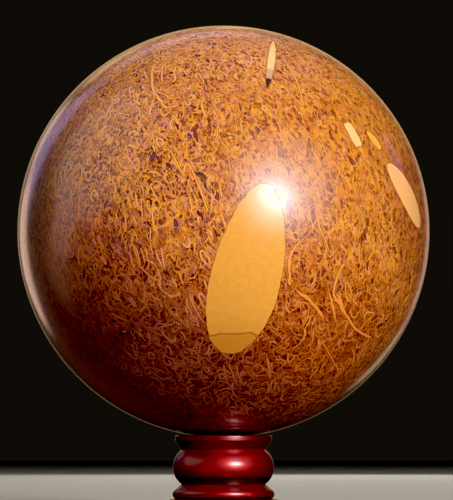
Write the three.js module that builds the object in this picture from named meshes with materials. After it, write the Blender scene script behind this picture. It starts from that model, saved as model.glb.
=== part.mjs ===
// A polished ball of mariam jasper resting in the dished top of a small turned hardwood stand.
// Millimetres, +Z up. The origin is the middle of the stand's flat underside.
// The stone is one solid ball and the stand is one turned piece, so the object is two solids.

import * as THREE from "three";

// Driving dimensions of the stone
const SPHERE_RADIUS = 50;

// Driving dimensions of the stand, from the foot up
const FOOT_HEIGHT = 3.8;
const FOOT_RADIUS = 14.2;
const FOOT_SHOULDER_RADIUS = 12.05; // where the foot's flat top turns into its rounded edge
const FOOT_EDGE_HEIGHT = 1.7; // height of the foot's widest line
const FOOT_CHAMFER = 0.35;

const LOWER_BEAD_HEIGHT = 3.5;
const LOWER_BEAD_RADIUS = 12.3;
const LOWER_BEAD_ROUNDING = 1.35; // radius of its rounded edge
const LOWER_BEAD_EDGE_HEIGHT = 1.1; // height of its widest line above the foot

const MAIN_BEAD_HEIGHT = 8.3;
const MAIN_BEAD_RADIUS = 12.2;

const GROOVE_RADIUS = 10.15; // the turned grooves above and below the main bead

const TAPER_HEIGHT = 2.2; // the cone that widens from the upper groove to the lip
const LIP_HEIGHT = 1.3;
const LIP_RADIUS = 11.7;
const LIP_ROUNDING = 0.45; // radius of the lip's top edge

// Driving dimensions of the dish that holds the ball
const SEAT_GAP = 0.3; // left between the ball and the dish, so that the two solids stay apart
const SEAT_OUTER_RADIUS = 9.3; // the dish follows the ball between these two circles
const SEAT_INNER_RADIUS = 5.4;
const HOLLOW_RADIUS = 4.8; // the shallow hollow under the ball
const HOLLOW_DEPTH = 2.2; // below the lip's top

// Fineness of the faceted surfaces
const SPHERE_SEGMENTS = 72;
const SPHERE_RINGS = 36;
const STAND_SEGMENTS = 56;

// Heights worked out from the dimensions above
const lowerBeadTop = FOOT_HEIGHT + LOWER_BEAD_HEIGHT;
const mainBeadTop = lowerBeadTop + MAIN_BEAD_HEIGHT;
const lipBottom = mainBeadTop + TAPER_HEIGHT;
const standHeight = lipBottom + LIP_HEIGHT;

// The dish is a band of a sphere that is larger than the ball by the gap, and has the ball's centre.
const seatRadius = SPHERE_RADIUS + SEAT_GAP;
const sphereCentreHeight =
  standHeight + Math.sqrt(seatRadius ** 2 - SEAT_OUTER_RADIUS ** 2);

// Points of an elliptical arc in the profile's plane, where x is the radius and y is the height.
function arc(centreR, centreZ, semiR, semiZ, fromDeg, toDeg, steps) {
  const points = [];
  for (let i = 0; i <= steps; i++) {
    const t = THREE.MathUtils.degToRad(fromDeg + ((toDeg - fromDeg) * i) / steps);
    points.push(
      new THREE.Vector2(centreR + semiR * Math.cos(t), centreZ + semiZ * Math.sin(t)),
    );
  }
  return points;
}

// The foot, from the middle of its underside out to its edge, then over its shoulder.
function footProfile() {
  const semiR = FOOT_RADIUS - FOOT_SHOULDER_RADIUS;
  const semiZ = FOOT_HEIGHT - FOOT_EDGE_HEIGHT;
  return [
    new THREE.Vector2(0, 0),
    new THREE.Vector2(FOOT_RADIUS - FOOT_CHAMFER, 0),
    new THREE.Vector2(FOOT_RADIUS, FOOT_CHAMFER),
    ...arc(FOOT_SHOULDER_RADIUS, FOOT_EDGE_HEIGHT, semiR, semiZ, 0, 90, 5),
  ];
}

// The lower bead: a round edge, then a flank that leaves it at a tangent and ends in the groove.
function lowerBeadProfile() {
  const centreR = LOWER_BEAD_RADIUS - LOWER_BEAD_ROUNDING;
  const centreZ = FOOT_HEIGHT + LOWER_BEAD_EDGE_HEIGHT;
  const toGroove = new THREE.Vector2(GROOVE_RADIUS - centreR, lowerBeadTop - centreZ);
  const tangentAngle =
    toGroove.angle() - Math.acos(LOWER_BEAD_ROUNDING / toGroove.length());
  const footAngle = -Math.asin(LOWER_BEAD_EDGE_HEIGHT / LOWER_BEAD_ROUNDING);
  return arc(
    centreR,
    centreZ,
    LOWER_BEAD_ROUNDING,
    LOWER_BEAD_ROUNDING,
    THREE.MathUtils.radToDeg(footAngle),
    THREE.MathUtils.radToDeg(tangentAngle),
    6,
  );
}

// The main bead: one circular arc whose two ends lie in the grooves.
function mainBeadProfile() {
  const half = MAIN_BEAD_HEIGHT / 2;
  const bulge = MAIN_BEAD_RADIUS - GROOVE_RADIUS;
  const radius = (half ** 2 + bulge ** 2) / (2 * bulge);
  const endDeg = THREE.MathUtils.radToDeg(Math.asin(half / radius));
  const centreR = MAIN_BEAD_RADIUS - radius;
  return arc(centreR, lowerBeadTop + half, radius, radius, -endDeg, endDeg, 10);
}

// The lip: its lower corner, where the cone below it ends, and its rounded top edge.
function lipProfile() {
  const centreR = LIP_RADIUS - LIP_ROUNDING;
  const centreZ = standHeight - LIP_ROUNDING;
  return [
    new THREE.Vector2(LIP_RADIUS, lipBottom),
    ...arc(centreR, centreZ, LIP_ROUNDING, LIP_ROUNDING, 0, 90, 3),
  ];
}

// The dish: the band that follows the ball, then the hollow down to the axis.
function dishProfile() {
  const outerDeg = THREE.MathUtils.radToDeg(Math.asin(SEAT_OUTER_RADIUS / seatRadius));
  const innerDeg = THREE.MathUtils.radToDeg(Math.asin(SEAT_INNER_RADIUS / seatRadius));
  return [
    ...arc(0, sphereCentreHeight, seatRadius, seatRadius, outerDeg - 90, innerDeg - 90, 3),
    new THREE.Vector2(HOLLOW_RADIUS, standHeight - HOLLOW_DEPTH),
    new THREE.Vector2(0, standHeight - HOLLOW_DEPTH),
  ];
}

function makeStand() {
  const profile = [
    ...footProfile(),
    ...lowerBeadProfile(),
    ...mainBeadProfile(),
    ...lipProfile(),
    ...dishProfile(),
  ];
  const geometry = new THREE.LatheGeometry(profile, STAND_SEGMENTS);
  geometry.rotateX(Math.PI / 2); // the lathe turns about Y, and the stand stands along Z
  const material = new THREE.MeshStandardMaterial({
    color: 0x5c0a0c, // dark red stain under gloss lacquer
    roughness: 0.15,
    metalness: 0,
  });
  const mesh = new THREE.Mesh(geometry, material);
  mesh.name = "turned_stand";
  return mesh;
}

function makeSphere() {
  const geometry = new THREE.SphereGeometry(SPHERE_RADIUS, SPHERE_SEGMENTS, SPHERE_RINGS);
  geometry.rotateX(Math.PI / 2);
  const material = new THREE.MeshStandardMaterial({
    color: 0x9a5426, // golden threads over maroon, seen from afar
    roughness: 0.08,
    metalness: 0,
  });
  const mesh = new THREE.Mesh(geometry, material);
  mesh.name = "jasper_sphere";
  mesh.position.z = sphereCentreHeight;
  return mesh;
}

const jasperSphereOnStand = new THREE.Group();
jasperSphereOnStand.add(makeStand(), makeSphere());

export default jasperSphereOnStand;
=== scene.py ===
"""A polished mariam jasper ball in the dished top of a small turned stand."""

import math

import bpy
import numpy as np
from bpy.props import FloatProperty, FloatVectorProperty, PointerProperty
from mathutils import Matrix, Vector


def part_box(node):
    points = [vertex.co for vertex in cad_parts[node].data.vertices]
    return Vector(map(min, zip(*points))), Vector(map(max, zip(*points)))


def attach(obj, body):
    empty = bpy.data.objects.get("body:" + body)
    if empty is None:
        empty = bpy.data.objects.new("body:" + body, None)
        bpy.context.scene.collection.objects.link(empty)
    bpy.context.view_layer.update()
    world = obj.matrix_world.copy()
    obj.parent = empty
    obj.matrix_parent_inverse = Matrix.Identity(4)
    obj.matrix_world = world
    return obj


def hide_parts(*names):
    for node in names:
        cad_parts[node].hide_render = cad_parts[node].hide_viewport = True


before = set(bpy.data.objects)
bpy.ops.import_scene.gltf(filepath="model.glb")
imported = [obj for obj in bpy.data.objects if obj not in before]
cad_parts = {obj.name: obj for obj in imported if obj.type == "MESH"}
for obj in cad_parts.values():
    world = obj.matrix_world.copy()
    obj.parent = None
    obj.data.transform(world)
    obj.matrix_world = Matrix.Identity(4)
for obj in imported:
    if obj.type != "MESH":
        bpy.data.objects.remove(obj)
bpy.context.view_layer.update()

bl_info = {
    "name": "Mariam Jasper Ball",
    "version": (1, 0, 0),
    "blender": (4, 5, 0),
    "location": "View3D > Sidebar > Jasper",
    "description": "A polished ball of thread-patterned jasper on a small turned stand",
    "category": "Add Mesh",
}

MM = 0.001
BALL = "polished_ball"
STAND = "lacquered_stand"

# The ball, from the frame
BALL_LOW, BALL_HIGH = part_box("jasper_sphere")
BALL_CENTRE = (BALL_LOW + BALL_HIGH) / 2
BALL_RADIUS = (BALL_HIGH.z - BALL_LOW.z) / 2
BALL_RADIUS_MM = BALL_RADIUS / MM

# The photograph's view
PHOTO_WIDTH = 453
PHOTO_HEIGHT = 500
FOCAL_PIXELS = 2392.0
CAMERA_PITCH = math.radians(4.827)
CAMERA_DISTANCE = 0.583
BALL_PIXEL = (223.5, 231.8)
SENSOR_HEIGHT = 36.0

RIGHT = Vector((1, 0, 0))
FORWARD = Vector((0, math.cos(CAMERA_PITCH), math.sin(CAMERA_PITCH)))
UP = Vector((0, -math.sin(CAMERA_PITCH), math.cos(CAMERA_PITCH)))

# Threads that the photograph shows by themselves: the pixels of each one's start, middle and end
LONG_THREADS = (
    ((155, 86), (163, 96), (173, 98)), ((164, 71), (167, 63), (170, 60)),
    ((286, 63), (296, 80), (304, 107)), ((191, 167), (200, 190), (208, 212)),
    ((211, 185), (212, 200), (211, 215)), ((213, 189), (219, 200), (230, 201)),
    ((169, 147), (177, 163), (186, 181)), ((321, 140), (327, 158), (330, 175)),
    ((276, 147), (277, 160), (276, 173)), ((315, 211), (321, 230), (329, 249)),
    ((324, 345), (331, 357), (339, 372)), ((319, 337), (319, 349), (313, 359)),
    ((304, 329), (301, 340), (296, 346)), ((374, 241), (380, 246), (387, 243)),
    ((347, 292), (354, 301), (360, 308)), ((134, 244), (141, 268), (158, 281)),
    ((148, 258), (157, 270), (150, 285)), ((99, 304), (96, 311), (101, 316)),
    ((186, 296), (190, 310), (199, 322)), ((190, 294), (195, 309), (203, 320)),
    ((224, 366), (226, 377), (232, 388)), ((229, 362), (232, 374), (238, 384)),
    ((236, 362), (238, 373), (242, 382)), ((215, 114), (219, 127), (213, 141)),
)
BROAD_THREADS = (
    ((154, 64), (152, 80), (155, 97)), ((155, 96), (161, 104), (178, 107)),
    ((300, 293), (313, 303), (324, 319)), ((330, 292), (333, 306), (336, 319)),
    ((338, 275), (335, 289), (343, 309)), ((343, 308), (352, 324), (371, 337)),
    ((267, 354), (269, 368), (271, 381)), ((276, 235), (277, 248), (272, 260)),
    ((296, 247), (289, 265), (291, 283)), ((159, 286), (164, 293), (180, 293)),
)


def pixel_ray(x, y):
    """The unit direction from the camera through a pixel of the photograph."""
    across = (x - PHOTO_WIDTH / 2) / FOCAL_PIXELS
    above = (PHOTO_HEIGHT / 2 - y) / FOCAL_PIXELS
    return (FORWARD + across * RIGHT + above * UP).normalized()


CAMERA_PLACE = BALL_CENTRE - CAMERA_DISTANCE * pixel_ray(*BALL_PIXEL)


def on_ball(pixel):
    """The unit direction from the ball's centre to the point of its surface that a pixel shows."""
    ray = pixel_ray(*pixel)
    to_centre = BALL_CENTRE - CAMERA_PLACE
    along = ray.dot(to_centre)
    reach = along - math.sqrt(along**2 - to_centre.length_squared + BALL_RADIUS**2)
    return (reach * ray - to_centre).normalized()


def sign(operation, swapped=False):
    """A method of a socket that adds the node of an arithmetic sign."""
    def apply(self, *others):
        values = (*others, self) if swapped else (self, *others)
        return self.graph.maths(operation, *values)

    return apply


class Socket:
    """An output of a node that takes part in arithmetic. Each expression adds the node that it needs."""

    def __init__(self, graph, output):
        self.graph = graph
        self.output = output

    __add__ = __radd__ = sign("ADD")
    __sub__ = sign("SUBTRACT")
    __rsub__ = sign("SUBTRACT", swapped=True)
    __mul__ = __rmul__ = sign("MULTIPLY")
    __truediv__ = sign("DIVIDE")
    __rtruediv__ = sign("DIVIDE", swapped=True)
    __pow__ = sign("POWER")
    __gt__ = sign("GREATER_THAN")
    __lt__ = sign("LESS_THAN")
    __abs__ = sign("ABSOLUTE")


def is_vector(value):
    """Whether an operand is a vector or a colour rather than a number."""
    if isinstance(value, Socket):
        return value.output.type in {"VECTOR", "RGBA"}
    return hasattr(value, "__len__")


class Graph:
    """A node tree, with one method that makes every node."""

    def __init__(self, tree):
        self.tree = tree
        self.tree.nodes.clear()

    def node(self, kind, settings=None, inputs=None):
        """A node of a type, with its settings set first and then the values or links of its sockets."""
        made = self.tree.nodes.new(kind)
        for key, value in (settings or {}).items():
            setattr(made, key, value)
        for key, value in (inputs or {}).items():
            self.feed(made.inputs[key], value)
        return made

    def feed(self, target, value):
        """Link a socket, or set its value. A colour gets its fourth part."""
        if isinstance(value, Socket):
            self.tree.links.new(value.output, target)
        elif target.type == "RGBA" and len(value) == 3:
            target.default_value = (*value, 1.0)
        else:
            target.default_value = value

    def value(self, kind, settings=None, inputs=None, output=0):
        """One output of a new node, for arithmetic."""
        return Socket(self, self.node(kind, settings, inputs).outputs[output])

    def maths(self, operation, *values):
        """A Math node, or a Vector Math node where an operand is a vector."""
        if any(is_vector(value) for value in values):
            return self.vector(operation, *values)
        return self.value("ShaderNodeMath", {"operation": operation}, dict(enumerate(values)))

    def vector(self, operation, *values):
        """A Vector Math node. A number that meets a vector counts for all three of its components."""
        inputs = {}
        for index, value in enumerate(values):
            if isinstance(value, Socket) and not is_vector(value):
                value = self.combine(value, value, value)
            inputs[index] = value if is_vector(value) else (value, value, value)
        wanted = "Value" if operation in {"DOT_PRODUCT", "LENGTH", "DISTANCE"} else "Vector"
        return self.value("ShaderNodeVectorMath", {"operation": operation}, inputs, wanted)

    def combine(self, x, y, z):
        return self.value("ShaderNodeCombineXYZ", None, {0: x, 1: y, 2: z})

    def parts(self, vector):
        """The three components of a vector or a colour."""
        kind = "Color" if vector.output.type == "RGBA" else "XYZ"
        made = self.node("ShaderNodeSeparate" + kind, None, {0: vector})
        return [Socket(self, output) for output in made.outputs]

    def dot(self, a, b):
        return self.vector("DOT_PRODUCT", a, b)

    def smooth(self, value, low, high):
        """0 below low, 1 above high and a smooth step between. With low above high it falls."""
        settings = {"interpolation_type": "SMOOTHSTEP", "clamp": False}
        inputs = {"Value": value, "From Min": low, "From Max": high}
        return self.value("ShaderNodeMapRange", settings, inputs, "Result")

    def mix(self, factor, a, b, blend="MIX"):
        """Colour a where the factor is 0, and where it is 1 colour b, or a blended with b."""
        settings = {"data_type": "RGBA", "clamp_factor": True, "blend_type": blend}
        return self.value("ShaderNodeMix", settings, {"Factor": factor, 6: a, 7: b}, 2)

    def noise(self, at, scale, detail=0.0, output="Fac", slice_at=None):
        """Smooth noise of a point, or of a point and a number that picks another slice of the noise."""
        inputs = {"Vector": at, "Scale": scale, "Detail": detail}
        settings = {}
        if slice_at is not None:
            settings["noise_dimensions"] = "4D"
            inputs["W"] = slice_at
        return self.value("ShaderNodeTexNoise", settings, inputs, output)

    def moved(self, point, shift, slant=(0, 0, 0), cell=(1, 1, 1)):
        """A point less a shift, turned back by a slant and divided by a cell's three sizes."""
        inputs = {"Vector": point, "Location": shift, "Rotation": slant, "Scale": cell}
        return self.value("ShaderNodeMapping", {"vector_type": "TEXTURE"}, inputs)

    def random(self, seed):
        """White noise of a number."""
        return self.value("ShaderNodeTexWhiteNoise", {"noise_dimensions": "1D"}, {"W": seed})

    def voronoi(self, at, scale):
        """The distance to the nearest cell of a Voronoi pattern, the cell's colour and its middle."""
        made = self.node("ShaderNodeTexVoronoi", {"feature": "F1"}, {"Vector": at, "Scale": scale})
        return [Socket(self, made.outputs[name]) for name in ("Distance", "Color", "Position")]

    def use(self, build, *values):
        """A node of the group that a function builds, with a value or a link for each input in order."""
        group = bpy.data.node_groups.get(build.__name__) or new_group(build)
        made = self.node("ShaderNodeGroup", {"node_tree": group}, dict(enumerate(values)))
        outputs = [Socket(self, output) for output in made.outputs]
        return outputs if len(outputs) > 1 else outputs[0]

    def finish(self, **surface):
        """The Principled surface and the material's output."""
        inputs = {key.replace("_", " "): value for key, value in surface.items()}
        made = self.node("ShaderNodeBsdfPrincipled", None, inputs)
        output = self.node("ShaderNodeOutputMaterial")
        self.tree.links.new(made.outputs[0], output.inputs["Surface"])


def new_material(name):
    """A material and the graph of its node tree."""
    material = bpy.data.materials.new(name)
    material.use_nodes = True
    return material, Graph(material.node_tree)


# The kinds of socket that a group's inputs and outputs have
FLOAT, VECTOR, COLOUR = "NodeSocketFloat", "NodeSocketVector", "NodeSocketColor"


def new_group(build):
    """A node group named after the function that builds it.

    The function takes the graph and the input sockets, whose types it gives as annotations, and returns
    its outputs by name."""
    inputs = build.__annotations__
    tree = bpy.data.node_groups.new(build.__name__, "ShaderNodeTree")
    for name, kind in inputs.items():
        tree.interface.new_socket(name, in_out="INPUT", socket_type=kind)
    graph = Graph(tree)
    start = graph.node("NodeGroupInput")
    results = build(graph, *(Socket(graph, start.outputs[name]) for name in inputs))
    for name, result in results.items():
        kind = {"RGBA": COLOUR, "VECTOR": VECTOR, "VALUE": FLOAT}[result.output.type]
        tree.interface.new_socket(name, in_out="OUTPUT", socket_type=kind)
    graph.node("NodeGroupOutput", None, results)
    return tree


def grid_mesh(name, points):
    """A mesh from a grid of points of shape (rows, columns, 3), with one pole point at each end.

    The columns close on themselves. A fan of triangles joins each end row to its pole, so the surface
    has no seam and no hole. Rows run so that the faces point outwards."""
    rows, columns = points.shape[0] - 2, points.shape[1]
    body = points[1:-1].reshape(-1, 3)
    vertices = np.vstack([body, points[0, :1], points[-1, :1]])
    first, last = rows * columns, rows * columns + 1
    column = np.arange(columns)
    after = (column + 1) % columns
    row = np.arange(rows - 1)[:, None] * columns
    quads = np.stack(
        [row + column, row + after, row + columns + after, row + columns + column], -1
    ).reshape(-1, 4)
    start = np.stack([np.full(columns, first), after, column], -1)
    top = (rows - 1) * columns
    end = np.stack([np.full(columns, last), top + column, top + after], -1)
    mesh = bpy.data.meshes.new(name)
    mesh.from_pydata(vertices.tolist(), [], quads.tolist() + start.tolist() + end.tolist())
    mesh.shade_smooth()
    piece = bpy.data.objects.new(name, mesh)
    bpy.context.scene.collection.objects.link(piece)
    return piece


def turned(profile, columns):
    """The points of a profile of radius and height, turned once round the Z axis."""
    turn = np.linspace(0, 2 * math.pi, columns, endpoint=False)
    radius, height = profile[:, :1], profile[:, 1:]
    return np.stack([radius * np.cos(turn), radius * np.sin(turn), height + 0 * turn], -1)


def tint(name, description, default):
    """A colour property."""
    return FloatVectorProperty(
        name=name, description=description, subtype="COLOR", default=default, min=0, max=1
    )


def length(name, description, millimetres):
    """A length property, whose default is given in millimetres."""
    return FloatProperty(
        name=name, description=description, default=millimetres * MM, unit="LENGTH", precision=5
    )


class StoneLook(bpy.types.PropertyGroup):
    """The colours and pattern sizes of the jasper."""

    thread_width: length("Thread width", "Width of a common thread", 0.32)
    straw: tint("Straw", "The palest threads", (0.93, 0.455, 0.115))
    gold: tint("Gold", "Bright threads", (0.93, 0.40, 0.060))
    ochre: tint("Ochre", "Masses of merged threads", (0.78, 0.262, 0.034))
    amber: tint("Amber", "Deeper threads", (0.42, 0.100, 0.013))
    rust: tint("Rust", "Threads that lie deepest", (0.30, 0.045, 0.005))
    maroon: tint("Maroon", "Ground between threads", (0.130, 0.009, 0.004))
    plum: tint("Plum", "Purple patches", (0.165, 0.038, 0.045))
    mauve: tint("Mauve", "Pale purple threads", (0.62, 0.30, 0.20))
    tan: tint("Tan", "The tan of the largest inclusion", (0.855, 0.385, 0.062))
    peach: tint("Peach", "Paler inclusions", (0.95, 0.47, 0.16))
    cream: tint("Cream", "The palest inclusions", (0.95, 0.52, 0.20))
    umber: tint("Umber", "Brown of the large inclusion's cracked end", (0.66, 0.25, 0.028))
    lilac: tint("Lilac", "Grey purple towards the blade's tip", (0.34, 0.17, 0.19))
    # Painted glow: the mauve laid round the brightest highlight, standing in for its halo rather than a
    # colour of the threads
    haze: tint("Haze", "Mauve of the threads around the brightest spot", (0.80, 0.47, 0.36))
    slate: tint("Slate", "The dark tip of the blade, and one dark lens", (0.050, 0.026, 0.024))


class StandLook(bpy.types.PropertyGroup):
    """The sizes and colour of the turned stand."""

    foot_height: length("Foot height", "Height of the foot", 3.8)
    foot_radius: length("Foot radius", "Widest radius of the foot", 14.2)
    shoulder_radius: length("Shoulder radius", "Where the foot's top rounds over", 12.05)
    foot_edge: length("Foot edge", "Height of the foot's widest line", 1.7)
    foot_chamfer: length("Foot chamfer", "Chamfer at the foot's underside", 0.35)
    lower_height: length("Lower bead height", "Height of the lower bead", 3.5)
    lower_radius: length("Lower bead radius", "Widest radius of the lower bead", 12.3)
    lower_rounding: length("Lower bead rounding", "Radius of the lower bead's edge", 1.35)
    lower_edge: length("Lower bead edge", "Height of the lower bead's widest line", 1.1)
    main_height: length("Main bead height", "Height of the main bead", 8.3)
    main_radius: length("Main bead radius", "Widest radius of the main bead", 12.2)
    groove_radius: length("Groove radius", "Radius at the bottom of both grooves", 10.15)
    taper_height: length("Taper height", "Height of the cone under the lip", 2.2)
    lip_height: length("Lip height", "Height of the lip", 1.3)
    lip_radius: length("Lip radius", "Radius of the lip", 11.7)
    lip_rounding: length("Lip rounding", "Radius of the lip's top edge", 0.45)
    seat_gap: length("Seat gap", "Space between the ball and the dish", 0.3)
    seat_outer: length("Seat outer radius", "Where the dish starts to follow the ball", 9.3)
    seat_inner: length("Seat inner radius", "Where the dish leaves the ball", 5.4)
    hollow_radius: length("Hollow radius", "Radius of the hollow under the ball", 4.8)
    hollow_depth: length("Hollow depth", "Depth of the hollow below the lip", 2.2)
    cherry: tint("Cherry", "Stain under the lacquer", (0.38, 0.003, 0.006))
    shade: tint("Shade", "Darker streaks of the stain", (0.28, 0.002, 0.004))


class StageLook(bpy.types.PropertyGroup):
    """The floor and the light."""

    floor_half: length("Floor half width", "From the middle of the floor to its edge", 3500)
    floor: tint("Floor", "The plain pale floor", (0.27, 0.265, 0.25))
    world: tint("World", "The dark room around", (0.0165, 0.0155, 0.0140))
    black_level: FloatProperty(name="Black level", description="Light shown as black", default=0.012)


# The step along the surface, in millimetres, that gives the slope of a noise, and the threads' slant
STEP = 0.02
SLANT = (0.0, -0.3, 0.0)

# Regions in which the stone's pattern and colour change, and where painted shade and a painted glow are
# laid: the pixel of each one's middle, and the cosines of the angles from it at which the change starts
# and is full
LOW = ((225, 430), 0.22, 1.0)
DARK = ((138, 405), 0.56, 0.96)
EAST = ((380, 240), 0.4, 0.95)
WEST = ((85, 280), 0.88, 0.985)
CALM = ((345, 90), 0.4, 1.0)
FINE = ((68, 215), 0.65, 0.93)
# Round the brightest highlight, where the painted glow is laid
PAINTED_GLOW_REGION = ((286, 186), 0.950, 1.0)

# What the colours are multiplied by: low down under the upper threads, everywhere by the two tints, and
# in each region over all threads. The darkening low down and in the regions is partly the stone's own
# darker, redder colour and partly
# painted shade: darkest and reddest at the bottom and the lower left, away from the key light, redder at
# the left, and somewhat darker to the right, the upper right and at the right rim
LOW_GROUND_AND_PAINTED_SHADE = (0.58, 0.43, 0.60)
HONEY = (1.04, 1.02, 0.60)
BLUSH = (0.98, 0.86, 2.3)
REGION_TINTS_AND_PAINTED_SHADE = (
    (LOW, (0.86, 0.47, 0.68)),
    (DARK, (0.52, 0.48, 1.3)),
    (EAST, (0.93, 0.91, 0.68)),
    (WEST, (0.84, 0.60, 0.58)),
    (CALM, (0.84, 0.82, 0.92)),
    (((372, 118), 0.93, 0.99), (0.95, 0.93, 0.75)),
    (((423, 214), 0.90, 0.99), (0.72, 0.60, 0.80)),
)

# Rings in the stone: the pixel of each one's middle and its radius in millimetres
RINGS = (
    ((128, 293), 3.2), ((128, 293), 4.6), ((185, 369.5), 2.2), ((238, 100), 1.2), ((151.5, 302), 2.1),
    ((277, 94), 2.0), ((275.5, 96), 1.1), ((160, 222), 2.2),
)

# Lenses under the threads: the pixels of each one's middle and top, half length and half width
# in millimetres, and colour
LENSES = (
    ((209.0, 126.5), (207.5, 115.0), 2.7, 0.8, "maroon"),
    ((309.5, 148.0), (309.0, 137.0), 2.7, 0.6, "maroon"),
    ((281.5, 153.0), (281.0, 147.0), 1.6, 0.6, "plum"),
    ((205.0, 181.0), (197.0, 168.0), 4.0, 0.7, "slate"),
    ((139.5, 193.0), (138.0, 187.0), 1.5, 1.2, "maroon"),
    ((160.5, 227.5), (160.5, 206.0), 5.2, 1.4, "amber"),
    ((277.5, 94.0), (277.0, 86.0), 1.6, 1.2, "maroon"),
    ((291.0, 286.0), (291.0, 280.0), 1.0, 0.7, "maroon"),
    ((182.4, 89.1), (182.4, 85.0), 0.8, 0.6, "maroon"),
    ((199.8, 93.8), (199.5, 89.0), 1.1, 0.5, "maroon"),
    ((161.0, 126.0), (158.0, 124.0), 1.0, 0.6, "maroon"),
    ((168.6, 144.0), (166.0, 142.0), 0.6, 0.5, "maroon"),
    ((200.0, 157.5), (197.0, 157.0), 1.6, 0.9, "plum"),
    ((302.7, 242.5), (304.0, 239.0), 0.8, 0.6, "maroon"),
    ((324.4, 273.7), (323.5, 268.0), 1.5, 0.6, "plum"),
    ((336.7, 288.8), (338.0, 284.0), 1.1, 0.4, "maroon"),
    ((275.5, 309.0), (278.0, 302.0), 2.0, 0.7, "maroon"),
    ((290.4, 324.7), (290.4, 321.0), 0.9, 0.7, "maroon"),
    ((186.3, 322.2), (186.0, 318.0), 0.9, 0.8, "gold"),
    ((148.2, 297.3), (145.0, 298.0), 1.0, 0.7, "gold"),
)
LENS_FORM = (2.0, 0.2, 0.0, 0.0)  # power, taper, shift and turn of all of them

# The blade, a thin clast with a dark tip: the pixels of its middle and of a point above it
BLADE = ((272.6, 59.4), (274.3, 36.6))

# Clasts that the photograph shows: the pixels of each one's middle and of a point above it along its
# length, half length and half width in millimetres, power, taper, shift, turn, roughness of the edge
# and fill
CLASTS = (
    ((246.5, 272.0), (262.0, 187.0), 19.87, 7.9, 2.0, 0.115, 0.3, 0.3, 1.0, "cracked"),
    ((407.4, 195.2), (401.3, 184.4), 9.6, 3.5, 2.0, 0.0, 0.0, 0.0, 1.0, "peach"),
    ((353.4, 134.4), (347.2, 123.2), 3.1, 1.35, 4.0, 0.0, 0.0, 0.0, 5.0, "cream"),
    ((374.4, 140.3), (368.0, 132.4), 2.6, 1.15, 2.0, 0.0, 0.0, 0.0, 4.0, "tan"),
    (*BLADE, 10.9, 0.85, 2.0, 0.1, -0.25, 0.0, 2.0, "blade"),
)
CRACK = ((211.4, 335.6), (238.0, 333.2), (261.0, 336.8))

# Clasts on the sides that the photograph doesn't show: degrees round from the front and above the
# level, roll, half length and half width in millimetres, and colour
HIDDEN_CLASTS = (
    (118, 22, 35, 8.2, 3.1, "tan"), (152, -18, -50, 12.5, 4.6, "tan"),
    (196, 34, 15, 6.4, 1.9, "peach"), (214, -6, 70, 9.0, 3.4, "tan"),
    (252, 18, -20, 11.0, 2.6, "cream"), (284, -28, 40, 6.0, 2.2, "tan"),
    (136, 58, -65, 5.2, 1.2, "cream"), (20, 74, 80, 7.5, 2.4, "peach"),
    (232, 62, 10, 4.2, 1.5, "tan"), (98, -34, 15, 5.0, 1.3, "peach"),
)
HIDDEN_FORM = (2.0, 0.1, 0.0, 0.0, 1.0)  # power, taper, shift, turn and roughness of all of them


def bend(graph, point: VECTOR, scale: FLOAT, reach: FLOAT):
    """A point moved by up to about reach by a noise."""
    push = graph.combine(*graph.parts(graph.noise(point, scale, 1.0, "Color"))) - 0.5
    return {"Point": point + push * (reach * 2)}


def threads(
    graph, point: VECTOR, aside: VECTOR, along: VECTOR, shift: VECTOR, slant: VECTOR, cell: VECTOR,
    lines: FLOAT, width: FLOAT, share: FLOAT, seed: FLOAT, scale: FLOAT, run: FLOAT,
):
    """Threads as level lines of a noise field.

    The field counts lines: its whole part names a line and its fraction says how far the point is
    from the line's middle. Divided by the field's slope, which two tangent steps give, that is a
    distance in millimetres, so every thread keeps one width. White noise of the line's name keeps
    a share of the lines, and a second noise, of another slice for each name, ends each in places."""
    field, field_aside, field_along = (
        graph.noise(graph.moved(at, shift, slant, cell), 1.0) * lines for at in (point, aside, along)
    )
    rise, rise_along = (field_aside - field) / STEP, (field_along - field) / STEP
    slope = graph.maths("SQRT", rise * rise + rise_along * rise_along + 1e-6)
    name = graph.maths("FLOOR", field)
    away = abs(field - name - 0.5) / slope
    tone = graph.random(name + seed + 0.37)
    ends = graph.noise(point, scale, 0.0, "Fac", name * 7.31 + seed)
    kept = (graph.random(name + seed) < share) * graph.smooth(ends, run, run + 0.05)
    half = width * (0.28 + 0.35 * tone)
    return {
        "Core": graph.smooth(away, half + 0.07, half - 0.07) * kept,
        "Halo": graph.smooth(away, half + 0.16, half) * kept,
        "Tone": tone,
    }


def pits(graph, point: VECTOR, shift: VECTOR, slant: VECTOR, cell: VECTOR, level: FLOAT):
    """Dark holes where a noise is low, and the rim of the threads that go round them."""
    value = graph.noise(graph.moved(point, shift, slant, cell), 1.0, 0.6)
    rim = graph.smooth(value, level - 0.01, level + 0.015)
    rim = rim * graph.smooth(value, level + 0.065, level + 0.04)
    return {"Hole": graph.smooth(value, level + 0.008, level - 0.022), "Rim": rim}


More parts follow.
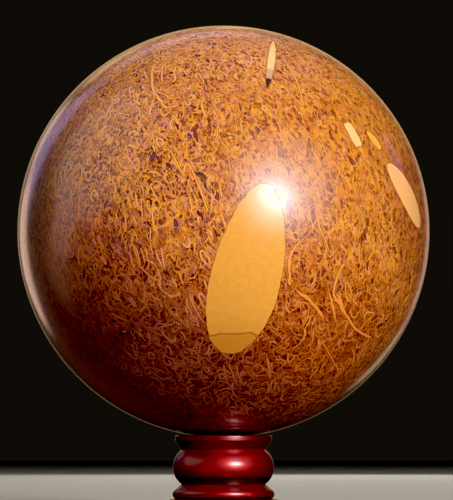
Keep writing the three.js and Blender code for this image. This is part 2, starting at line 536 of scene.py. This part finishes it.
def curls(
    graph, point: VECTOR, normal: VECTOR, shift: VECTOR, cell: FLOAT, width: FLOAT, share: FLOAT
):
    """One hook, ring or open spiral in each cell of a Voronoi pattern.

    White noise of the cell's middle turns it, squashes it and says how much of the ring there is."""
    _, _, middle = graph.voronoi(graph.moved(point, shift), 1 / cell)
    offset = point - shift - middle
    luck = graph.dot(middle, (3.7, 5.3, 7.9))
    one, two, three, four = (graph.random(luck + step) for step in (0.0, 1.3, 2.7, 3.9))
    axis = graph.combine(one - 0.5, two - 0.45, three - 0.55)
    first = graph.vector("NORMALIZE", graph.vector("CROSS_PRODUCT", normal, axis))
    second = graph.vector("CROSS_PRODUCT", normal, first)
    u = graph.dot(offset, first)
    v = graph.dot(offset, second) * (1 + 0.9 * one)
    angle = graph.maths("ARCTAN2", v, u)
    reach = graph.maths("SQRT", u * u + v * v)
    radius = cell * (0.16 + 0.2 * two) * (1 + 0.16 * angle)
    away = abs(reach - radius)
    limit = 1.3 + 2.2 * three
    near = graph.smooth(abs(graph.dot(offset, normal)), 0.34 * cell, 0.3 * cell) * (four < share)
    kept = graph.smooth(abs(angle), limit, limit - 0.3) * near
    half = width / 2
    return {
        "Core": graph.smooth(away, half + 0.04, half - 0.05) * kept,
        "Halo": graph.smooth(away, half + 0.18, half) * kept,
        "Tone": two,
        "Inside": graph.smooth(reach, radius, radius - 0.35) * near,
    }


def specks(graph, point: VECTOR, cell: FLOAT, radius: FLOAT, share: FLOAT):
    """Small round dots, in a share of the cells of a Voronoi pattern."""
    distance, colour, _ = graph.voronoi(point, 1 / cell)
    choice, luck, _ = graph.parts(colour)
    away = distance * cell
    size = radius * (0.5 + luck)
    return {"Dot": graph.smooth(away, size + 0.05, size - 0.04) * (choice < share)}


def lay(
    graph, under: COLOUR, core: FLOAT, halo: FLOAT, tone: FLOAT, light: COLOUR, dark: COLOUR,
    edge: COLOUR, depth: FLOAT, strength: FLOAT,
):
    """One layer of threads over what lies under it, with a dark edge beside each thread."""
    under = graph.mix(halo * depth * strength, under, edge)
    return {"Colour": graph.mix(core * strength, under, graph.mix(tone, dark, light))}


def arc_thread(
    graph, point: VECTOR, across: VECTOR, height: FLOAT, slant: FLOAT, toward: VECTOR, limit: FLOAT,
    width: FLOAT,
):
    """A thread where a plane cuts the ball, kept on one side of a second plane."""
    away = abs(graph.dot(point, across) - height) / slant
    kept = graph.smooth(graph.dot(point, toward) - limit, 0.0, 0.12)
    half = width / 2
    return {
        "Core": graph.smooth(away, half + 0.05, half - 0.05) * kept,
        "Halo": graph.smooth(away, half + 0.22, half) * kept,
    }


def clast(
    graph, point: VECTOR, wobble: FLOAT, middle: VECTOR, up: VECTOR, aside: VECTOR, half_length: FLOAT,
    half_width: FLOAT, power: FLOAT, taper: FLOAT, shift: FLOAT, turn: FLOAT,
):
    """How far outside the edge of a rounded clast the point is, in millimetres, negative inside.

    The clast lies about one direction of the ball, with its long axis along up. Its width
    shrinks by the taper towards the top and its middle line is moved aside by shift and turn."""
    t = graph.dot(point, up) / half_length
    width = half_width * (1 - taper * t)
    s = (graph.dot(point, aside) - shift - turn * t) / width
    rho = (abs(s) ** power + abs(t) ** power) ** (1 / power) + wobble
    pull = graph.maths("SQRT", (s / width) ** 2 + (t / half_length) ** 2 + 1e-4)
    behind = (graph.dot(point, middle) < 0) * 100
    return {"Away": (rho - 1) * rho / pull + behind}


def arc_values(pixels):
    """The planes of the thread along the circle on the ball through three pixels of the photograph."""
    start, middle, end = (on_ball(pixel) for pixel in pixels)
    across = (middle - start).cross(end - middle).normalized()
    height = across.dot(start)
    toward = (middle - across * height).normalized()
    limit = min(start.dot(toward), end.dot(toward)) * BALL_RADIUS_MM
    slant = math.sqrt(1 - height**2)
    return tuple(across), height * BALL_RADIUS_MM, slant, tuple(toward), limit


def clast_axes(pixel, top):
    """The directions to the middle of a clast, up it and across it, from two of its pixels."""
    middle, toward = on_ball(pixel), on_ball(top)
    up = (toward - middle * middle.dot(toward)).normalized()
    return tuple(middle), tuple(up), tuple(up.cross(middle))


def all_clasts():
    """Every clast: its three directions, sizes and form, the roughness of its edge and its fill."""
    rows = [(*clast_axes(pixel, top), *rest) for pixel, top, *rest in CLASTS]
    for around, above, roll, half_length, half_width, fill in HIDDEN_CLASTS:
        turn, tilt, roll = math.radians(around), math.radians(above), math.radians(roll)
        flat = math.cos(tilt)
        middle = Vector((math.sin(turn) * flat, -math.cos(turn) * flat, math.sin(tilt)))
        level = Vector((math.cos(turn), math.sin(turn), 0.0))
        up = math.cos(roll) * middle.cross(level) + math.sin(roll) * level
        axes = (tuple(middle), tuple(up), tuple(up.cross(middle)))
        rows.append((*axes, half_length, half_width, *HIDDEN_FORM, fill))
    return rows


class Stone(Graph):
    """The jasper's colour, laid on layer over layer. Colours go by their names in StoneLook."""

    def __init__(self, tree, look):
        super().__init__(tree)
        self.look = look
        self.width = look.thread_width / MM

        # The point in millimetres from the ball's centre, and two steps beside it along the surface
        place = self.value("ShaderNodeTexCoord", output="Object")
        self.point = (place - tuple(BALL_CENTRE)) * (1 / MM)
        self.normal = self.vector("NORMALIZE", self.point)
        across = self.vector("CROSS_PRODUCT", self.normal, (0.36, 0.8, 0.48))
        first = self.vector("NORMALIZE", across)
        second = self.vector("CROSS_PRODUCT", self.normal, first)
        self.points = (self.point, self.point + first * STEP, self.point + second * STEP)

        # How the stone changes over the ball, and from patch to patch; low also marks where painted
        # shade is laid low down
        self.low = self.region(*LOW)
        self.east = self.region(*EAST)
        self.calm = self.region(*CALM)
        self.west = self.region(*WEST)
        self.fine = self.region(*FINE)
        patchy = self.smooth(self.noise(self.point, 1 / 5.5, 1.0), 0.36, 0.64)
        self.strength = (patchy * 0.36 + 0.84) * (1.15 - self.calm * 0.50 - self.east * 0.28)
        self.crowd = (self.noise(self.point, 1 / 7.0, 1.0) - 0.5) * 0.22 + self.low * 0.02

        # The ground: maroon with plum patches and a fine rust grain
        patch = self.smooth(self.noise(self.point, 1 / 4.5, 2.0), 0.50, 0.60)
        patch = patch * (1 - self.east * 0.9) * (1 - self.low * 0.7)
        self.ground = self.mix(patch, "maroon", "plum")
        self.colour = self.ground
        grain = self.smooth(self.noise(self.point, 1 / 0.5, 2.0), 0.42, 0.58)
        self.cover(grain * 0.85, "rust")

        # The points again, bent by a fine and by a broad noise, which the threads follow
        self.curly = self.warped(2.6, 0.9)
        self.broad = self.warped(6.0, 2.0)

    def paint(self, colour):
        """The value of a named colour. A value or a socket stays as it is."""
        return tuple(getattr(self.look, colour)) if isinstance(colour, str) else colour

    def mix(self, factor, a, b, blend="MIX"):
        """As in any graph, where a colour may go by its name."""
        return super().mix(factor, self.paint(a), self.paint(b), blend)

    def region(self, pixel, outer, inner):
        """0 far from a pixel's place on the ball and 1 at it, between the cosines of two angles."""
        return self.smooth(self.dot(self.normal, tuple(on_ball(pixel))), outer, inner)

    def warped(self, cell, reach):
        """The points, each moved by a noise of a cell's size."""
        return [self.use(bend, place, 1 / cell, reach) for place in self.points]

    def cover(self, factor, colour, blend="MIX"):
        """Lay one colour over what there is."""
        self.colour = self.mix(factor, self.colour, colour, blend)

    def lay_over(self, layer, light, dark, depth, strength):
        """Lay threads over what there is, from the core, halo and tone of their group."""
        paints = (self.paint(light), self.paint(dark), self.paint("maroon"))
        self.colour = self.use(lay, self.colour, *layer, *paints, depth, strength)

    def add_threads(
        self, where, seed, light, dark, cell, spacing, wide, share, draw=1.0, run=0.5, depth=0.4,
        weight=1.0,
    ):
        """A layer of threads that wind about cells of noise.

        The cell's size and the spacing of the threads are in millimetres, and wide is the width against
        the common one. A share of the threads shows. The cells are drawn out along the slant, a higher
        run makes the threads shorter, depth darkens their edges, and the weight is the whole layer's."""
        shift = (17.3 * seed + 3.1, -9.7 * seed, 5.9 * seed + 1.7)
        layer = self.use(
            threads, *where, shift, SLANT, (cell, cell, cell * draw), cell / (0.4 * spacing),
            self.width * wide, share, 31.7 * seed, 0.9 / cell, run,
        )
        self.lay_over(layer, light, dark, depth, self.strength * weight)

    def add_curls(self, seed, light, dark, cell, wide, share, depth, inner):
        """A layer of hooks and rings, darker inside, in a share of the cells."""
        shift = (11.9 * seed, 7.7 * seed + 2.3, -13.1 * seed)
        sizes = (cell, self.width * wide, share)
        *layer, inside = self.use(curls, self.point, self.normal, shift, *sizes)
        self.cover(inside * inner, "maroon")
        self.lay_over(layer, light, dark, depth, self.strength)

    def add_pits(self, where, seed, light, cell, draw, level, depth):
        """A layer of holes that show the ground, with a thread round each. The level is their extent."""
        shift = (5.3 * seed, 8.9 * seed, -3.7 * seed)
        cells = (cell, cell, cell * draw)
        hole, rim = self.use(pits, where[0], shift, SLANT, cells, self.crowd + level)
        self.cover(hole * depth, self.ground)
        self.cover(rim * 0.7, light)

    def add_golden_mass(self):
        """The mass that the deep threads merge into, from ochre to gold."""
        shift = (6.1, 7.3, -7.3)
        value = self.noise(self.moved(self.broad[0], shift, SLANT, (1.1, 1.1, 2.1)), 1.0, 2.0)
        tone = self.noise(self.moved(self.broad[0], shift, SLANT, (2.2, 2.2, 5.0)), 1.0, 1.0)
        tone = self.smooth(tone + self.calm * 0.06 - self.low * 0.08, 0.4, 0.6)
        value = value - self.crowd * 0.6 - self.low * 0.15 - self.west * 0.08 + self.calm * 0.02
        self.cover(self.smooth(value, 0.39, 0.46) * 0.9, self.mix(tone, "ochre", "gold"))

    def add_deep_layers(self):
        """Deep threads and the golden mass, with dark holes left in it."""
        self.add_threads(self.points, 1, "ochre", "rust", 1.2, 0.55, 0.9, 0.8)
        self.add_threads(self.curly, 2, "ochre", "amber", 1.8, 0.6, 0.9, 0.7)
        self.add_golden_mass()
        self.add_threads(self.broad, 3, "gold", "amber", 1.6, 0.6, 0.9, 0.6, 2.6)
        weight = (1 - self.east) * (1 - self.low * 0.7)
        self.add_threads(self.broad, 6, "mauve", "plum", 2.0, 0.7, 0.9, 0.5, 2.6, weight=weight)
        level = self.fine * 0.04 + 0.38
        self.add_pits(self.points, 1, "ochre", 0.6, 1.4, level, self.strength * 0.9)
        self.add_threads(self.curly, 5, "gold", "ochre", 2.2, 0.7, 0.9, 0.5)
        self.add_pits(self.curly, 2, "gold", 1.1, 1.8, 0.36, self.strength * 0.95)

    def add_lenses(self):
        """The lenses, each inside a golden rim, and the small curls around them."""
        self.wobble = (self.noise(self.point, 1 / 2.4, 1.0) - 0.5) * 0.07
        for pixel, top, half_length, half_width, fill in LENSES:
            form = (*clast_axes(pixel, top), half_length, half_width, *LENS_FORM)
            away = self.use(clast, self.broad[0], self.wobble * 4, *form)
            self.cover(self.smooth(away, 0.10, -0.15) * 0.7, fill)
            self.cover(self.smooth(abs(away - 0.15), 0.22, 0.08) * 0.7, "gold")
        for seed, cell in ((1, 2.4), (2, 3.6)):
            self.add_curls(seed, "gold", "ochre", cell, 0.7, 0.5, 0.5, 0.6)

    def add_upper_layers(self):
        """Long strands, combed locks and arcs, with larger holes between them."""
        weight = 1 - self.fine * 0.8
        self.add_threads(self.broad, 8, "gold", "ochre", 2.6, 0.8, 1.0, 0.5, 3.4, 0.52, weight=weight)
        level = self.fine * -0.09 + 0.335
        self.add_pits(self.broad, 3, "straw", 1.9, 2.0, level, self.strength)
        weight = 1 - self.low * 0.9
        self.add_threads(self.curly, 10, "mauve", "gold", 3.6, 1.2, 0.9, 0.3, run=0.54, weight=weight)
        self.add_curls(4, "straw", "gold", 5.0, 0.8, 0.4, 0.6, 0.15)
        weight = 1 - self.fine * 0.8
        self.add_threads(self.broad, 12, "gold", "amber", 2.0, 0.45, 0.65, 0.8, 5.0, 0.55, 0.5, weight)
        self.add_threads(self.points, 13, "gold", "amber", 4.6, 0.55, 0.55, 0.6, 1.4, 0.52, 0.5)
        weight = self.low * 0.9 + 0.1
        self.add_threads(self.points, 14, "straw", "gold", 3.4, 0.5, 0.5, 0.7, 1.4, 0.48, 0.5, weight)
        self.add_threads(self.points, 11, "straw", "gold", 3.0, 1.3, 1.15, 0.35, 4.0, 0.52)

    def add_single_threads(self):
        """The threads and rings that are read from the photograph one by one."""
        bent = self.use(bend, self.point, 1 / 3.0, 0.15)
        for lines, wide in ((LONG_THREADS, 1.1), (BROAD_THREADS, 1.9)):
            core, halo = 0.0, 0.0
            for pixels in lines:
                one_core, one_halo = self.use(arc_thread, bent, *arc_values(pixels), wide * self.width)
                core = self.maths("MAXIMUM", one_core, core)
                halo = self.maths("MAXIMUM", one_halo, halo)
            self.lay_over((core, halo, 0.35), "straw", "gold", 0.7, 1.0)
        core = 0.0
        for pixel, radius in RINGS:
            height = math.sqrt(BALL_RADIUS_MM**2 - radius**2)
            away = abs(self.dot(bent, tuple(on_ball(pixel))) - height) * (BALL_RADIUS_MM / radius)
            core = self.maths("MAXIMUM", self.smooth(away, 0.20, 0.06), core)
        self.cover(core * 0.8, "gold")

    def add_tints(self):
        """Honey and mauve tints, then the broad changes of colour, which are partly painted shade, and a
        painted mauve glow round the brightest highlight.

        The regions are worked out again, because a material holds only so many values at a time."""
        blush = self.smooth(self.noise(self.point, 1 / 1.1, 2.0), 0.45, 0.60)
        self.cover(0.8, self.mix(blush * (1 - self.low * 0.9), HONEY, BLUSH), "MULTIPLY")
        # Painted shade, partly the stone's own colour: darker and redder low down and to the lower left,
        # and darker to the right
        for place, shade in REGION_TINTS_AND_PAINTED_SHADE:
            self.cover(self.region(*place), shade, "MULTIPLY")
        # Painted glow: mauve laid round the brightest highlight, standing in for its halo
        self.cover(self.region(*PAINTED_GLOW_REGION) * 0.3, "haze")

    def cracked_fill(self):
        """The mottled tan of the largest clast, with a crack across it and browner below that."""
        mottle = self.smooth(self.noise(self.point, 1 / 1.2, 3.0), 0.3, 0.7)
        colour = self.mix(mottle, [0.93 * part for part in self.paint("tan")], "tan")
        across, height, *_ = arc_values(CRACK)
        above = self.dot(self.use(bend, self.point, 1 / 2.5, 0.25), across) - height
        colour = self.mix(self.smooth(above, 2.2, 0.0) * 0.25, colour, "umber")
        colour = self.mix(self.smooth(above, 0.2, -0.3) * 0.9, colour, "umber")
        return self.mix(self.smooth(abs(above), 0.14, 0.02) * 0.6, colour, "rust")

    def blade_fill(self):
        """The blade's cream, then its lilac, and slate at its tip."""
        along = self.dot(self.point, clast_axes(*BLADE)[1])
        colour = self.mix(self.smooth(along, -3.3, -5.0) * 0.6, "cream", "lilac")
        return self.mix(self.smooth(along, -7.6, -8.2), colour, "slate")

    def add_clasts(self):
        """The clasts, each inside a thin dark line. Returns the roughness, which is lower in them."""
        roughness = 0.43
        fills = {"cracked": self.cracked_fill(), "blade": self.blade_fill()}
        for *form, rough, fill in all_clasts():
            away = self.use(clast, self.point, self.wobble * rough, *form)
            self.cover(self.smooth(away, 0.32, 0.0) * 0.55, "maroon")
            inside = self.smooth(away, 0.08, -0.08)
            self.cover(inside, fills.get(fill, fill))
            roughness = roughness - inside * 0.12
        return roughness


def jasper(look):
    """The polished jasper: a tangle of threads over a dark ground, with pale clasts."""
    material, graph = new_material("threaded_jasper")
    stone = Stone(graph.tree, look)
    stone.add_deep_layers()
    stone.add_lenses()
    # Painted shade, partly the stone's own darker ground: the colours under the upper threads are darker
    # low down
    stone.cover(stone.low, LOW_GROUND_AND_PAINTED_SHADE, "MULTIPLY")
    stone.add_upper_layers()
    stone.add_single_threads()
    stone.add_tints()
    roughness = stone.add_clasts()
    stone.cover(stone.use(specks, stone.point, 1.5, 0.11, 0.35) * 0.8, "straw")
    stone.finish(
        Base_Color=stone.colour,
        Roughness=roughness,
        IOR=1.54,
        Specular_IOR_Level=0.5,
        Specular_Tint=(0.82, 0.82, 1.0, 1.0),
        Coat_Weight=1.0,
        Coat_Roughness=0.12,
        Coat_IOR=1.54,
    )
    return material


class JASPER_OT_ball(bpy.types.Operator):
    """Make the polished jasper ball in place of its faceted solid"""

    bl_idname = "jasper.ball"
    bl_label = "Jasper Ball"

    ROWS = 145
    COLUMNS = 288

    def execute(self, context):
        tilt = np.linspace(0, math.pi, self.ROWS)
        profile = BALL_RADIUS * np.stack([np.sin(tilt), -np.cos(tilt)], -1)
        points = turned(profile, self.COLUMNS) + np.array(BALL_CENTRE)
        ball = grid_mesh(BALL, points)
        ball.data.materials.append(jasper(context.scene.jasper_stone))
        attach(ball, "root")
        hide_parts("jasper_sphere")
        return {"FINISHED"}


def arc(centre_r, centre_z, semi_r, semi_z, start, stop, steps):
    """Points of an elliptical arc in the profile's plane, from one angle to another in degrees."""
    t = np.radians(np.linspace(start, stop, steps + 1))
    return np.stack([centre_r + semi_r * np.cos(t), centre_z + semi_z * np.sin(t)], -1)


def stand_profile(size):
    """The stand's profile of radius and height, from the middle of the underside to that of the dish.

    It goes round the foot, the lower bead and the main bead, up the cone and over the lip. The beads and
    the foot are circular and elliptical arcs. The dish is a band of a sphere about the ball's centre."""
    lower_top = size.foot_height + size.lower_height
    main_top = lower_top + size.main_height
    lip_bottom = main_top + size.taper_height
    height = lip_bottom + size.lip_height
    underside = [[0, 0], [size.foot_radius - size.foot_chamfer, 0]]
    foot = arc(
        size.shoulder_radius, size.foot_edge, size.foot_radius - size.shoulder_radius,
        size.foot_height - size.foot_edge, 0, 90, 16,
    )
    chamfer = [[size.foot_radius, size.foot_chamfer]]
    rounding = size.lower_rounding
    lower_r, lower_z = size.lower_radius - rounding, size.foot_height + size.lower_edge
    to_groove = (size.groove_radius - lower_r, lower_top - lower_z)
    tangent = math.atan2(to_groove[1], to_groove[0]) - math.acos(rounding / math.hypot(*to_groove))
    lower = arc(
        lower_r, lower_z, rounding, rounding,
        -math.degrees(math.asin(size.lower_edge / rounding)), math.degrees(tangent), 18,
    )
    half, bulge = size.main_height / 2, size.main_radius - size.groove_radius
    radius = (half**2 + bulge**2) / (2 * bulge)
    end = math.degrees(math.asin(half / radius))
    main = arc(size.main_radius - radius, lower_top + half, radius, radius, -end, end, 36)
    edge = size.lip_rounding
    lip = arc(size.lip_radius - edge, height - edge, edge, edge, 0, 90, 10)
    seat = BALL_RADIUS + size.seat_gap
    outer = math.degrees(math.asin(size.seat_outer / seat)) - 90
    inner = math.degrees(math.asin(size.seat_inner / seat)) - 90
    dish = arc(0, BALL_CENTRE.z, seat, seat, outer, inner, 8)
    floor = height - size.hollow_depth
    return np.vstack([
        underside, chamfer, foot, lower, main, [[size.lip_radius, lip_bottom]], lip,
        dish, [[size.hollow_radius, floor], [0, floor]],
    ])


def lacquer(look):
    """Cherry stain with faint streaks under a gloss lacquer, with painted shade: darker where the
    surface faces down and a shade darker on the lip.
    """
    material, graph = new_material("cherry_lacquer")
    texture = graph.node("ShaderNodeTexCoord")
    point = Socket(graph, texture.outputs["Object"]) * (1 / MM)
    streak = graph.smooth(graph.noise(point * (0.15, 0.15, 1.0), 1 / 1.2, 2.0), 0.35, 0.65)
    rise = graph.parts(Socket(graph, texture.outputs["Normal"]))[2]
    height = graph.parts(point)[2]
    cone_bottom = (look.foot_height + look.lower_height + look.main_height) / MM
    lip_bottom = cone_bottom + look.taper_height / MM
    # Painted shade: the stain is darker where the surface faces down, while the cone and the lip keep at
    # least 0.8 of it
    underside_painted_shade = graph.smooth(rise, -0.55, -0.30) * 0.92 + 0.08
    painted_shading = graph.maths("MAXIMUM", underside_painted_shade, (height > cone_bottom) * 0.8)
    stain = graph.mix(streak, tuple(look.shade), tuple(look.cherry))
    graph.finish(
        # Painted shade: a shade darker on the lip
        Base_Color=stain * painted_shading * (1 - (height > lip_bottom) * 0.35),
        Metallic=0.75,
        Roughness=0.55,
        Coat_Weight=1.0,
        Coat_Roughness=0.23,
        Coat_IOR=1.5,
    )
    return material


class JASPER_OT_stand(bpy.types.Operator):
    """Make the turned stand in place of its faceted solid"""

    bl_idname = "jasper.stand"
    bl_label = "Turned Stand"

    COLUMNS = 192

    def execute(self, context):
        look = context.scene.jasper_stand
        stand = grid_mesh(STAND, turned(stand_profile(look), self.COLUMNS))
        stand.data.set_sharp_from_angle(angle=math.radians(30))
        stand.data.materials.append(lacquer(look))
        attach(stand, "root")
        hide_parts("turned_stand")
        return {"FINISHED"}


# The lamps: name, direction from the ball as right, up and towards the camera, width and height in
# metres, radiance, colour, share of the radius that shines fully, and where they aren't the usual ones
# the rays, the piece, the distance and the roll. The brightest reflection comes from the spot.
SPOT = (0.463, 0.306, 0.834)
LAMPS = (
    ("key", SPOT, 0.14, 0.14, 585.0, (1.0, 0.95, 0.88), 0.1, "diffuse", None, 1.0),
    ("sheen", SPOT, 0.50, 0.12, 195.0, (1.0, 0.93, 0.88), 0.1, "glossy", STAND, 1.0),
    ("spark", SPOT, 0.46, 0.35, 12.5, (0.70, 0.87, 1.0), 0.2, "glossy", BALL, 1.0, -30),
    ("glow", (0.458, 0.306, 0.834), 0.85, 0.85, 7.6, (0.92, 0.88, 1.0), 0.0, "all", None, 1.0),
    ("top", (0.08, 0.80, -0.45), 1.2, 1.2, 5.8, (1.0, 0.95, 0.9), 0.3, "diffuse", None, 1.0),
    ("back", (0.1, 0.15, -1.0), 0.8, 0.8, 5.0, (1.0, 0.95, 0.9), 0.3, "diffuse", None, 1.0),
    ("fill", (-0.6, -0.3, 0.74), 1.0, 1.0, 0.4, (1.0, 0.7, 0.6), 0.3, "diffuse", None, 1.0),
    ("veil", (-0.815, 0.55, 0.07), 1.15, 1.35, 0.78, (1.0, 0.90, 0.82), 0.6, "glossy", None),
    ("violet", (-0.600, 0.350, -0.720), 0.30, 0.75, 1.2, (0.40, 0.32, 0.66), 0.4, "glossy", None),
    ("top_band", (-0.14, 0.64, -0.756), 0.85, 0.30, 0.75, (0.95, 0.70, 0.80), 0.3),
    ("west", (-0.993, 0.02, -0.118), 0.40, 0.5, 1.0, (1.0, 0.6, 0.5), 0.2),
    ("left_band", (-0.555, -0.045, -0.830), 0.34, 0.56, 1.45, (1.0, 0.63, 0.46), 0.5),
    ("upper_band", (-0.446, 0.258, -0.857), 0.22, 0.26, 1.1, (1.0, 0.72, 0.58), 0.4),
    ("high_band", (-0.288, 0.427, -0.857), 0.26, 0.20, 0.8, (1.0, 0.72, 0.42), 0.4),
    ("right_band", (0.40, -0.05, -0.91), 0.26, 0.5, 0.5, (1.0, 0.66, 0.60), 0.3),
    ("dusk", (0.768, 0.345, -0.540), 0.22, 0.32, 0.7, (0.60, 0.40, 0.90), 0.2),
    ("low_band", (0.383, -0.321, -0.866), 0.2, 0.3, 0.6, (1.0, 0.8, 0.45), 0.3),
    ("under", (-0.62, -0.62, -0.48), 1.5, 1.5, 0.10, (1.0, 0.25, 0.15), 0.3),
    ("side", (-0.945, -0.19, -0.27), 0.45, 0.70, 0.6, (1.0, 0.4, 0.2), 0.2),
    ("rim", (0.0, 0.14, -0.99), 0.95, 0.95, 0.5, (1.0, 0.74, 0.38), 0.3, "glossy", None),
)


def add_lamp(
    name, direction, width, height, radiance, colour, full,
    rays="glossy", piece=BALL, distance=0.9, roll=0,
):
    """A soft elliptic lamp from one row of the table, aimed at the ball.

    Its radiance falls smoothly to nothing from the full share of its radius to its edge. It lights one
    piece, or all of them with None, by diffuse rays, glossy rays or all rays. The distance is in metres.
    The roll turns it in degrees, against the clock as the camera sees its mirror image in the ball."""
    across, above, near = direction
    aim = (across * RIGHT + above * UP - near * FORWARD).normalized()
    light = bpy.data.lights.new(name, "AREA")
    light.shape = "ELLIPSE"
    light.size, light.size_y = width, height
    light.energy = radiance * math.pi * math.pi * width * height / 4
    light.color = colour
    light.use_nodes = True
    graph = Graph(light.node_tree)
    place = graph.value("ShaderNodeNewGeometry", output="Parametric")
    away = graph.vector("LENGTH", (place - (0.5, 0.5, 0.0)) * 2)
    shine = graph.node("ShaderNodeEmission", None, {"Strength": graph.smooth(away, 1.0, full)})
    output = graph.node("ShaderNodeOutputLight")
    graph.tree.links.new(shine.outputs[0], output.inputs[0])
    lamp = bpy.data.objects.new(name, light)
    lamp.location = BALL_CENTRE + aim * distance
    turn = aim.to_track_quat("Z", "Y").to_matrix() @ Matrix.Rotation(math.radians(roll), 3, "Z")
    lamp.rotation_euler = turn.to_euler()
    lamp.visible_diffuse = rays != "glossy"
    lamp.visible_glossy = rays != "diffuse"
    bpy.context.scene.collection.objects.link(lamp)
    if piece:
        receivers = bpy.data.collections.new(name)
        receivers.objects.link(bpy.data.objects[piece])
        lamp.light_linking.receiver_collection = receivers


def add_floor(look):
    """A plain pale floor that throws no light on the pieces."""
    half = look.floor_half
    mesh = bpy.data.meshes.new("floor")
    corners = [(-half, -half, 0), (half, -half, 0), (half, half, 0), (-half, half, 0)]
    mesh.from_pydata(corners, [], [(0, 1, 2, 3)])
    floor = bpy.data.objects.new("floor", mesh)
    bpy.context.scene.collection.objects.link(floor)
    material, graph = new_material("pale_floor")
    graph.finish(Base_Color=tuple(look.floor), Roughness=0.6)
    mesh.materials.append(material)
    floor.visible_diffuse = False
    floor.visible_glossy = False
    floor.visible_shadow = False


def add_camera():
    """The camera, from the photograph's view."""
    camera = bpy.data.cameras.new("camera")
    camera.sensor_fit = "VERTICAL"
    camera.sensor_height = SENSOR_HEIGHT
    camera.lens = FOCAL_PIXELS / PHOTO_HEIGHT * SENSOR_HEIGHT
    seen = bpy.data.objects.new("camera", camera)
    seen.location = CAMERA_PLACE
    seen.rotation_euler = (math.pi / 2 + CAMERA_PITCH, 0, 0)
    bpy.context.scene.collection.objects.link(seen)
    bpy.context.scene.camera = seen


class JASPER_OT_stage(bpy.types.Operator):
    """Make the pale floor, the soft lights and the camera"""

    bl_idname = "jasper.stage"
    bl_label = "Stage"

    def execute(self, context):
        scene = context.scene
        look = scene.jasper_stage
        scene.view_settings.view_transform = "Standard"
        scene.view_settings.use_curve_mapping = True
        curves = scene.view_settings.curve_mapping
        curves.black_level = [look.black_level] * 3
        curves.update()
        add_floor(look)
        for lamp in LAMPS:
            add_lamp(*lamp)
        world = bpy.data.worlds.new("studio")
        world.use_nodes = True
        world.node_tree.nodes["Background"].inputs["Color"].default_value = (*look.world, 1)
        scene.world = world
        add_camera()
        return {"FINISHED"}


class JASPER_PT_panel(bpy.types.Panel):
    """The pieces and the stage, in the 3D view's sidebar"""

    bl_idname = "JASPER_PT_panel"
    bl_label = "Jasper Ball"
    bl_space_type = "VIEW_3D"
    bl_region_type = "UI"
    bl_category = "Jasper"

    def draw(self, context):
        for operator in (JASPER_OT_ball, JASPER_OT_stand, JASPER_OT_stage):
            self.layout.operator(operator.bl_idname)
        for name in LOOKS:
            look = getattr(context.scene, name)
            box = self.layout.box()
            for value in look.__annotations__:
                box.prop(look, value)


LOOKS = {"jasper_stone": StoneLook, "jasper_stand": StandLook, "jasper_stage": StageLook}
CLASSES = (*LOOKS.values(), JASPER_OT_ball, JASPER_OT_stand, JASPER_OT_stage, JASPER_PT_panel)


def register():
    for cls in CLASSES:
        bpy.utils.register_class(cls)
    for name, look in LOOKS.items():
        setattr(bpy.types.Scene, name, PointerProperty(type=look))


def unregister():
    for name in LOOKS:
        delattr(bpy.types.Scene, name)
    for cls in reversed(CLASSES):
        bpy.utils.unregister_class(cls)


def main():
    register()
    bpy.ops.jasper.ball()
    bpy.ops.jasper.stand()
    bpy.ops.jasper.stage()
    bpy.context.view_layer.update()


if __name__ == "__main__":
    main()
